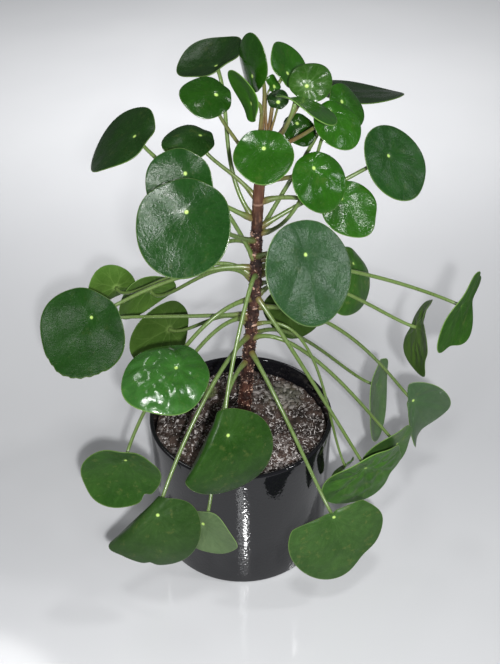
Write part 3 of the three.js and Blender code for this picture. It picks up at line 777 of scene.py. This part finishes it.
def stem():
    rng = np.random.default_rng(SEED + 1)
    heights = np.arange(STEM_FOOT, STEM_TOP, STEM_STEP)
    turns = circle(STEM_SIDES)
    middles, radii = zip(*(stem_at(height) for height in heights))
    middles, radii = np.array(middles), np.array(radii)[:, None]
    rough = 1 - np.clip((heights - BARK_SMOOTH_FROM) / (BARK_SMOOTH_TO - BARK_SMOOTH_FROM), 0, 1)[:, None]
    rise, scar = stem_scars(rng, heights, turns, radii)
    grain = np.array([
        [noise.noise((math.cos(turn) * 3.1, math.sin(turn) * 3.1, height / BARK_GRAIN)) for turn in turns]
        for height in heights
    ])
    bump = rough * (rise + BARK_DEPTH * grain) + (1 - rough) * BARK_DEPTH * YOUNG_BARK * grain
    across = np.stack([np.cos(turns), np.sin(turns), 0 * turns], -1)
    rings = middles[:, None, :] + (radii + bump - SCAR_RISE * BARK_SUNK * rough)[:, :, None] * across
    parts = [skin(middles[0], rings, middles[-1] + (0, 0, radii[-1, 0] * STEM_POINT))]
    joint = np.exp(-(((heights - JOINT_AT) / JOINT_HEIGHT) ** 2))[:, None]
    pale = [with_poles(np.maximum(scar * rough, JOINT_PALE * joint + 0 * turns))]
    smooth = [with_poles(1 - rough + 0 * turns)]
    for points, faces, shade in stem_flakes(rng):
        parts.append((points, faces))
        pale.append(np.full(len(points), shade))
        smooth.append(np.zeros(len(points)))
    piece = add_piece("stem_bark", *joined(parts), [stem_material()], "stem", ["stem"])
    store(piece, "scar", np.concatenate(pale))
    store(piece, "smooth", np.concatenate(smooth))


# Leaf blades


def direction(azimuth, height):
    """Unit vector at an azimuth and a height above the horizon, both in degrees."""
    azimuth, height = math.radians(azimuth), math.radians(height)
    level = math.cos(height)
    return np.array([level * math.cos(azimuth), level * math.sin(azimuth), math.sin(height)])


def blade_axes(leaf):
    """Unit vectors out of the face, towards the tip and to the side."""
    normal = direction(*leaf["face"])
    downhill = unit(normal * normal[2] - (0, 0, 1))
    spin = math.radians(leaf["spin"])
    tip = downhill * math.cos(spin) + np.cross(normal, downhill) * math.sin(spin)
    return normal, tip, np.cross(normal, tip)


def rolled(distance, radius, degrees):
    """A flat distance bent round a cylinder: how far along, how far out, and its lean."""
    bend = math.radians(degrees or 0.01) / radius
    lean = distance * bend
    return np.sin(lean) / bend, (1 - np.cos(lean)) / bend, lean


def folded(x, y, radius, fold):
    """Flat points bent down beyond a line: the new x and y, the drop and the lean."""
    if not fold:
        return x, y, 0 * x, 0 * x, (0, 0)
    turn, share, degrees, limit = (*fold, FOLD_LIMIT)[:4]
    way = direction(turn, 0)[:2]
    over = np.maximum(x * way[0] + y * way[1] - share * radius, 0)
    bend = math.radians(degrees) / radius
    lean = np.minimum(over * bend, math.radians(limit))
    straight = over - lean / bend
    back = over - np.sin(lean) / bend - straight * np.cos(lean)
    drop = (1 - np.cos(lean)) / bend + straight * np.sin(lean)
    return x - back * way[0], y - back * way[1], drop, lean, way


def rim_reach(leaf, turns):
    """How far the rim is from the hub: a circle round a middle beyond it, with a slight point at the tip,
    shallow scallops, its dents and nicks, and a straight stretch."""
    radius = leaf["radius"] * MM
    offset = radius * leaf["inset"]
    plain = offset * np.cos(turns) + np.sqrt(radius ** 2 - (offset * np.sin(turns)) ** 2)
    point = TIP_POINT * np.maximum(0, np.cos(turns)) ** TIP_SHARPNESS
    reach = plain * (1 + point + SCALLOP_DEPTH * np.cos(SCALLOPS * turns + leaf["hub"][0]))
    for way, width, depth in (*leaf["dents"], *leaf["nicks"]):
        away = (np.degrees(turns) - way + 180) % 360 - 180
        reach = reach * (1 - depth * np.exp(-((away / width) ** 2)))
    if leaf["cut"]:
        way, share = leaf["cut"]
        facing = np.maximum(0, np.cos(turns - math.radians(way))) / (share * radius)
        reach = (reach ** -CUT_SHARPNESS + facing ** CUT_SHARPNESS) ** (-1 / CUT_SHARPNESS)
    return reach


def vein_distance(x, y, tone):
    """How far a flat point is from the nearest main vein."""
    turn = np.arctan2(y, x)
    turn = turn + VEIN_WARP * np.sin(2 * turn + tone * 6)
    return np.hypot(x, y) * np.abs(np.sin(VEINS / 2 * turn)) * 2 / VEINS


def blade_grid(leaf):
    """The turns of a blade's points round its hub, and their shares of the way out to its rim."""
    radius = leaf["radius"] * MM
    sides = max(LEAST_SIDES, round(2 * math.pi * radius / FACE_SIZE / 4) * 4)
    count = max(LEAST_RINGS, round(radius * (1 + leaf["inset"]) / FACE_SIZE))
    inner = np.linspace(0, 1 - RIM_ROUND, count)[1:]
    return circle(sides), np.concatenate([inner, 1 - RIM_ROUND * np.array(RIM_STEPS)])[:, None]


def blade_sheet(leaf, turns, shares, reach):
    """The bent sheet in the middle of a blade, and the unit vector of its thickness at each point."""
    radius = leaf["radius"] * MM
    normal, tip, side = blade_axes(leaf)
    x, y = reach * np.cos(turns), reach * np.sin(turns)
    x, y, drop, fold_lean, way = folded(x, y, radius, leaf["fold"])
    x_along, x_out, x_lean = rolled(x, radius, leaf["roll"][1])
    y_along, y_out, y_lean = rolled(y, radius, leaf["roll"][0])
    ripple = WAVE_HEIGHT * shares ** 2 * np.sin(WAVES * turns + leaf["hub"][0])
    bowl = DISH * radius * (1 - np.exp(-reach / (DISH_REACH * radius))) * (1 - shares ** 2)
    out = x_out + y_out + ripple - drop + bowl
    thick = unit(
        normal * np.cos(fold_lean)[..., None]
        + tip * (np.sin(fold_lean) * way[0] - np.tan(x_lean))[..., None]
        + side * (np.sin(fold_lean) * way[1] - np.tan(y_lean))[..., None]
    )
    hub = np.array(leaf["hub"]) * MM
    return hub + tip * x_along[..., None] + side * y_along[..., None] + normal * out[..., None], thick


def blade_relief(leaf, x, y, shares, reach):
    """How far each point stands out of the smooth sheet: puckers, blisters, quilting and sunk veins."""
    phase = leaf["hub"][0]
    veined = np.clip((1 - shares) / VEINLESS_RIM, 0, 1) * np.clip(reach / VEINS_FROM, 0, 1)
    from_vein = vein_distance(x, y, leaf_tone(leaf))
    valley = np.exp(-((from_vein / VEIN_WIDTH) ** 2))
    swell = 1 - np.exp(-((from_vein / QUILT_WIDTH) ** 2))
    pucker = np.sin(x / PUCKER_LONG + phase) * np.sin(y / PUCKER_WIDE - phase)
    relief = (
        PUCKER * (pucker * np.clip(reach / PUCKERS_FROM, 0, 1))
        + BLISTER_DEPTH * leaf["blister"] * lumps(x, y, BLISTER_SIZE, phase)
        + QUILT_DEPTH * leaf["quilt"] * swell
    )
    relief = relief * (1 - shares ** 4) - VEIN_DEPTH * valley * veined
    return min(1, leaf["radius"] * MM / RELIEF_FULL_AT) * relief * (shares < 1)


def blade(leaf):
    """Points and faces of one blade, and for each point its flat place, its share of the way out to the rim
    and whether it is underneath."""
    turns, shares = blade_grid(leaf)
    reach = shares * rim_reach(leaf, turns)
    x, y = reach * np.cos(turns), reach * np.sin(turns)
    middle, thick = blade_sheet(leaf, turns, shares, reach)
    relief = blade_relief(leaf, x, y, shares, reach)
    half = BLADE_THICKNESS / 2 * np.sqrt(1 - (np.maximum(shares - 1 + RIM_ROUND, 0) / RIM_ROUND) ** 2)
    dimple = np.exp(-((reach / HUB_RADIUS) ** 2))
    top = middle + thick * (half + relief - HUB_DIMPLE * dimple)[..., None]
    bottom = middle - thick * (half - relief)[..., None]
    hub, normal = np.array(leaf["hub"]) * MM, blade_axes(leaf)[0]
    hub_top = hub + normal * (BLADE_THICKNESS / 2 - HUB_DIMPLE)
    hub_bottom = hub - normal * BLADE_THICKNESS / 2
    points, faces = skin(hub_top, np.concatenate([top, bottom[-2::-1]]), hub_bottom)

    def both(values):
        return np.concatenate([[0], values.ravel(), values[-2::-1].ravel(), [0]])

    lower = np.concatenate([[0], 0 * reach.ravel(), 0 * reach[-2::-1].ravel() + 1, [1]])
    return points, faces, both(x), both(y), both(shares + 0 * reach), lower


def leaf_tone(leaf):
    """A number from 0 to 1 that sets one leaf's colour and veins apart from the next one's."""
    return leaf["hub"][0] * 0.37 % 1


def vein_nodes(shader):
    """Nodes for the veins: how near a point is to a main vein or its forks, and to the net of small veins."""
    place = shader.add("UVMap", uv_map="Blade")
    place = shader.add("VectorMath", {0: place, 1: (0.5, 0.5, 0)}, operation="SUBTRACT")
    split = shader.add("SeparateXYZ", {0: place}).node
    x, y = (shader.product(part, BLADE_MAP) for part in split.outputs[:2])
    rim = shader.add("SeparateXYZ", {0: shader.add("UVMap", uv_map="Rim")}).node
    share, tone = rim.outputs[0], rim.outputs[1]
    reach = shader.math("SQRT", shader.total((x, x), (y, y)))
    turn = shader.math("ARCTAN2", y, x)
    sway = shader.math("SINE", shader.total((turn, 2.0), (tone, 6.0)))
    turn = shader.total(turn, (sway, VEIN_WARP))

    def line(angle, width):
        wave = shader.math("ABSOLUTE", shader.math("SINE", shader.product(angle, VEINS / 2)))
        return shader.ramp(shader.product(wave, reach, 2 / VEINS), 0.0, width, 1.0, 0.0)

    beyond = shader.math("MAXIMUM", shader.math("SUBTRACT", share, FORKS_FROM), 0.0)
    spread = shader.product(beyond, FORK_SPREAD)
    left = line(shader.total(turn, spread), FORK_LINE)
    right = line(shader.math("SUBTRACT", turn, spread), FORK_LINE)
    fork = shader.math("MAXIMUM", left, right)
    fork = shader.product(fork, shader.ramp(share, 0.4, 0.55), shader.ramp(share, 0.7, 0.97, 0.8, 0.0))
    main = shader.product(line(turn, VEIN_LINE), shader.ramp(share, 0.55, 0.9, 1.0, 0.0))
    net = shader.add("TexVoronoi", {"Vector": place, "Scale": 55.0}, feature="DISTANCE_TO_EDGE")
    return dict(
        main=shader.math("MAXIMUM", main, fork), net=shader.ramp(net, 0.0, 0.12, 1.0, 0.0),
        hub=shader.ramp(reach, *HUB_SPOT, 1.0, 0.0), glow=shader.ramp(reach, *HUB_GLOW, 1.0, 0.0),
        edge=shader.ramp(share, 0.975, 0.995), tone=tone, x=x, y=y, reach=reach,
    )


def polar_noise(shader, veins, around, outward):
    """Noise with so many changes round the hub and so many a metre outward: wrinkles run round the hub where
    outward is large, and streaks run out to the rim where it is small."""
    far = shader.total(veins["reach"], 0.0005)
    across = [shader.product(shader.math("DIVIDE", veins[side], far), around) for side in "xy"]
    out = shader.total((veins["reach"], outward), (veins["tone"], 50.0))
    place = shader.add("CombineXYZ", {0: across[0], 1: across[1], 2: out})
    return shader.noise(1.0, 3.0, 0.6, place=place)


def face_material(name, deep, fresh, vein, gloss, shine, lines=0.05, flecks=0.12):
    """The glossy upper side of a blade, from one of the LOOKS."""
    shader = Shader(name)
    veins = vein_nodes(shader)
    patch = shader.noise(42.0, 3.0)
    mottle = shader.noise(260.0, 3.0, 0.6)
    light = shader.total(shader.ramp(patch, 0.3, 0.7, 0.0, 0.6), (veins["tone"], 0.35))
    streak = polar_noise(shader, veins, STREAKS_AROUND, STREAKS_OUTWARD)
    stain = shader.ramp(shader.noise(150.0, 4.0, 0.7), 0.56, 0.7)
    speck = shader.ramp(shader.noise(950.0, 2.0), 0.62, 0.75)
    base = shader.paint(
        deep,
        (shader.math("MULTIPLY", light, 1.0, clamp=True), fresh),
        (shader.ramp(mottle, 0.35, 0.75, 0.0, 0.4), fresh),
        (veins["net"], 0.05, vein),
        (veins["main"], lines, vein),
        (veins["glow"], 0.3, vein),
        (shader.ramp(streak, 0.3, 0.75, 0.35, 0.0), tuple(0.6 * part for part in deep)),
        (stain, flecks, (0.11, 0.13, 0.035)),
        (speck, 0.14, (0.16, 0.2, 0.12)),
        (veins["edge"], 0.5, (0.15, 0.24, 0.06)),
    )
    # The leaf's shade scales its colour: partly its own tone, partly painted shade and painted light
    base = shader.scaled(base, shader.number("shade"))
    rough = shader.ramp(mottle, 0.2, 0.8, gloss, gloss + 0.09)
    crinkle = shader.number("crinkle")
    wrinkle = polar_noise(shader, veins, WRINKLES_AROUND, WRINKLES_OUTWARD)
    swell = shader.math("SUBTRACT", 0.42, shader.product(crinkle, 0.34))
    height = shader.total(
        (veins["main"], -0.07), (veins["net"], -0.08), (shader.noise(1300.0, 2.0), 0.2),
        (shader.noise(190.0, 2.0), swell), (crinkle, wrinkle, 0.85),
    )
    shader.bump(height, 0.00035, 0.7)
    return shader.set(
        Base_Color=shader.mix(veins["hub"], base, (0.36, 0.52, 0.13)),
        Roughness=shader.total(rough, (veins["net"], 0.04)),
        Specular_IOR_Level=shine,
    )


def back_material():
    """The paler, duller underside of a blade."""
    shader = Shader("leaf underside")
    veins = vein_nodes(shader)
    patch = shader.noise(60.0, 3.0)
    mottle = shader.noise(300.0, 3.0, 0.6)
    base = shader.paint(
        (0.045, 0.105, 0.014),
        (shader.ramp(patch, 0.3, 0.7), (0.068, 0.140, 0.022)),
        (shader.ramp(mottle, 0.35, 0.75, 0.0, 0.3), (0.085, 0.165, 0.03)),
        (veins["net"], 0.12, (0.10, 0.18, 0.04)),
        (veins["main"], 0.4, (0.13, 0.23, 0.05)),
        (veins["glow"], 0.8, (0.19, 0.3, 0.08)),
    )
    # The leaf's shade scales its colour: partly its own tone, partly painted shade and painted light
    base = shader.scaled(base, shader.number("shade"))
    shader.bump(shader.total((veins["main"], 0.8), (veins["net"], 0.2), (mottle, 0.3)), 0.0003, 0.6)
    rough = shader.ramp(patch, 0.2, 0.8, 0.45, 0.6)
    return shader.set(Base_Color=base, Roughness=rough, Specular_IOR_Level=0.14)


def leaves():
    looks = {name: face_material("leaf face " + name, *values) for name, values in LOOKS.items()}
    back = back_material()
    for number, leaf in enumerate(LEAVES, 1):
        points, faces, x, y, share, lower = blade(leaf)
        materials = [looks[leaf["look"]], back]
        piece = add_piece(f"blade_{number:02d}", points, faces, materials, "leaf", [f"leaf_{number:02d}"])
        under = [int(min(lower[i] for i in face)) for face in faces]
        piece.data.polygons.foreach_set("material_index", under)
        store_map(piece, "Blade", np.stack([x, y], -1) / BLADE_MAP + 0.5)
        store_map(piece, "Rim", np.stack([share, 0 * share + leaf_tone(leaf)], -1))
        store(piece, "crinkle", 0 * share + leaf["crinkle"])
        # The shade number, partly the leaf's own tone and partly painted shade and light, that both materials
        # scale the colour by
        store(piece, "shade", 0 * share + leaf["shade"])


# Leaf stalks


def stalk_material():
    shader = Shader("leaf stalk")
    streak = shader.noise(500.0, 3.0, place=shader.drawn_out(0.3))
    brown = shader.mix(streak, (0.09, 0.04, 0.018), (0.18, 0.09, 0.035))
    base = shader.paint(
        (0.075, 0.125, 0.028),
        (streak, (0.13, 0.195, 0.055)),
        (shader.ramp(shader.number("along"), 0.75, 1.0, 0.0, 0.35), (0.16, 0.24, 0.075)),
        (shader.number("red"), brown),
    )
    shader.bump(streak, 0.0002, 0.5)
    return shader.set(
        Base_Color=base, Roughness=shader.ramp(streak, 0.3, 0.7, 0.26, 0.36), Specular_IOR_Level=0.55,
    )


def stalk_line(leaf):
    """Points along the middle of one stalk, their shares of the way along it, and its span."""
    normal = direction(*leaf["face"])
    end = np.array(leaf["hub"]) * MM - normal * (BLADE_THICKNESS / 2 + STALK_GAP)
    start = stem_at(leaf["start"] * MM)[0]
    span = np.linalg.norm(end - start)
    azimuth = math.degrees(math.atan2(end[1] - start[1], end[0] - start[0])) + leaf["swing"]
    bow = np.array(leaf["bow"]) * MM
    out = start + direction(azimuth, leaf["lift"]) * span * STALK_LEAVING + bow
    under = end - normal * min(span * STALK_ARRIVING, STALK_ARRIVING_MOST) + bow
    t = np.linspace(0, 1, STALK_STEPS + 1)[:, None]
    middles = (
        start * (1 - t) ** 3 + out * 3 * t * (1 - t) ** 2 + under * 3 * t ** 2 * (1 - t) + end * t ** 3
    )
    return middles, t, span


def stalk(leaf):
    """Points, faces, distances along and redness of one stalk."""
    middles, t, span = stalk_line(leaf)
    ahead = unit(np.gradient(middles, axis=0))
    across = unit(np.cross((1, 0, 0) if abs(ahead[0, 2]) > 0.9 else (0, 0, 1), ahead))
    over = np.cross(ahead, across)
    thin = min(1, STALK_THINNEST + (1 - STALK_THINNEST) * leaf["radius"] * MM / STALK_FULL_AT)
    foot = np.exp(-((t * span - FOOT_FLARE_AT) / FLARE_LENGTH) ** 2)
    tip = np.exp(-(((1 - t) * span) / FLARE_LENGTH) ** 2)
    flare = 1 + FOOT_FLARE * foot + TIP_FLARE * tip
    radii = STALK_FULLER * thin * lerp(*STALK_RADII, np.sqrt(t)) * flare
    turns = circle(STALK_SIDES)
    around = across[:, None, :] * np.cos(turns)[:, None] + over[:, None, :] * np.sin(turns)[:, None]
    rings = middles[:, None, :] + radii[:, :, None] * around
    into_blade = np.array(leaf["hub"]) * MM - direction(*leaf["face"]) * BLADE_THICKNESS / 4
    points, faces = skin(middles[0], rings, into_blade)
    crown = min(max((leaf["start"] - RED_FROM) / RED_RISE, 0), 1)
    redness = np.maximum(np.exp(-(t * span / RED_FOOT) ** 2), crown * np.clip(1.25 - t * 1.3, 0, 0.9))
    along, red = (with_poles(np.repeat(values, STALK_SIDES, axis=1)) for values in (t, redness))
    return points, faces, along, red


def stalks():
    made = [stalk(leaf) for leaf in LEAVES]
    points, faces = joined([row[:2] for row in made])
    piece = add_piece("stalks_green", points, faces, [stalk_material()], "stalk", ["stem"])
    store(piece, "along", np.concatenate([row[2] for row in made]))
    store(piece, "red", np.concatenate([row[3] for row in made]))


# Floor, lights and camera


def stage():
    shader = Shader("pale glossy floor")
    cloud = shader.ramp(shader.noise(3.0, 2.0), 0.3, 0.7)
    material = shader.set(
        Base_Color=shader.mix(cloud, (0.515, 0.52, 0.535), (0.54, 0.545, 0.558)),
        Roughness=shader.ramp(shader.noise(8.0, 2.0), 0.3, 0.7, 0.07, 0.09),
    )
    bpy.ops.mesh.primitive_plane_add(size=FLOOR_SIZE, location=(0, 0, -FLOOR_DROP))
    floor = bpy.context.object
    floor.name = "floor"
    floor.data.materials.append(material)
    floor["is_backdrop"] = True


def add_light(name, kind, place, target, power, tint=(1, 1, 1)):
    data = bpy.data.lights.new(name, kind)
    data.energy = power
    data.color = tint
    light = bpy.data.objects.new(name, data)
    bpy.context.collection.objects.link(light)
    light.location = place
    light.rotation_euler = (Vector(target) - Vector(place)).to_track_quat("-Z", "Y").to_euler()
    return data


def lights():
    for row in AREA_LIGHTS:
        light = add_light(row["name"], "AREA", row["place"], row["aim"], row["power"])
        light.shape = "DISK"
        light.size = row["size"]
        bpy.data.objects[row["name"]].visible_camera = False
    for row in SOFT_LIGHTS:
        light = add_light(row["name"], "SUN", direction(*row["at"]), (0, 0, 0), row["power"], row["tint"])
        light.angle = math.radians(row["spread"])
    world = bpy.data.worlds.new("studio")
    bpy.context.scene.world = world
    world.use_nodes = True
    background = world.node_tree.nodes["Background"]
    background.inputs["Color"].default_value = (0.95, 0.97, 1.0, 1.0)
    background.inputs["Strength"].default_value = WORLD_STRENGTH
    bpy.context.scene.view_settings.view_transform = "Standard"


def camera():
    data = bpy.data.cameras.new("camera")
    data.sensor_width = SENSOR
    data.lens = FOCAL_PIXELS / PHOTO_HEIGHT * SENSOR
    data.clip_start, data.clip_end = CAMERA_CLIP
    body = bpy.data.objects.new("camera", data)
    bpy.context.collection.objects.link(body)
    body.matrix_world = (
        Matrix.Translation(CAMERA_PLACE)
        @ Matrix.Rotation(math.radians(90 - CAMERA_PITCH), 4, "X")
        @ Matrix.Rotation(math.radians(CAMERA_ROLL), 4, "Z")
    )
    bpy.context.scene.camera = body


camera()
pot()
soil()
stem()
stalks()
leaves()
stage()
lights()

boxes = [[list(corner) for corner in box] for box in (CAD_BOX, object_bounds())]
